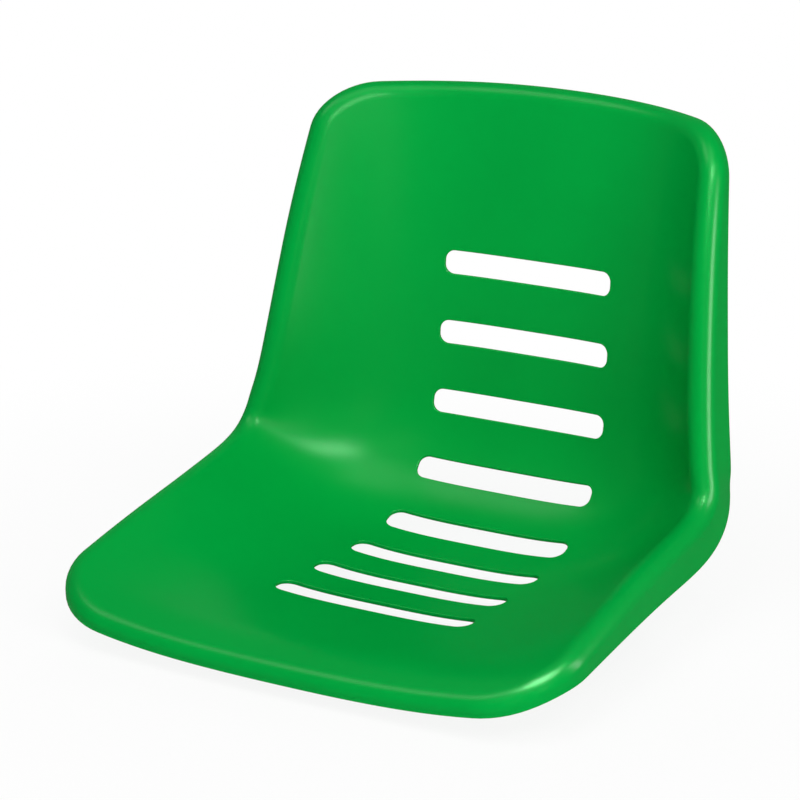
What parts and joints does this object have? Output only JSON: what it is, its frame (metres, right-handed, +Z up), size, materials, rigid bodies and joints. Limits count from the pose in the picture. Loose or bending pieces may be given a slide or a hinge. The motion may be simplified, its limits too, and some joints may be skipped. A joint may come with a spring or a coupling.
{
  "type": "stadium seat",
  "caption": "One-piece moulded bucket seat shell with slots across seat and back, a turned-down rim and threaded fixing bosses underneath.",
  "frame": {"origin": "on the plane of the four boss faces, under the middle of the seat's bounding box", "axes": "+Z up, the sitter faces -Y, +X to the right of someone who looks along +Y at the seat"},
  "size_m": [0.45, 0.4326, 0.3897],
  "materials": {
    "shell_plastic": "glossy moulded",
    "insert_brass": "turned and knurled"
  },
  "bodies": {
    "root": {"seat_shell": "shell_plastic", "insert_front_left": "insert_brass", "insert_front_right": "insert_brass", "insert_rear_left": "insert_brass", "insert_rear_right": "insert_brass"}
  },
  "joints": []
}
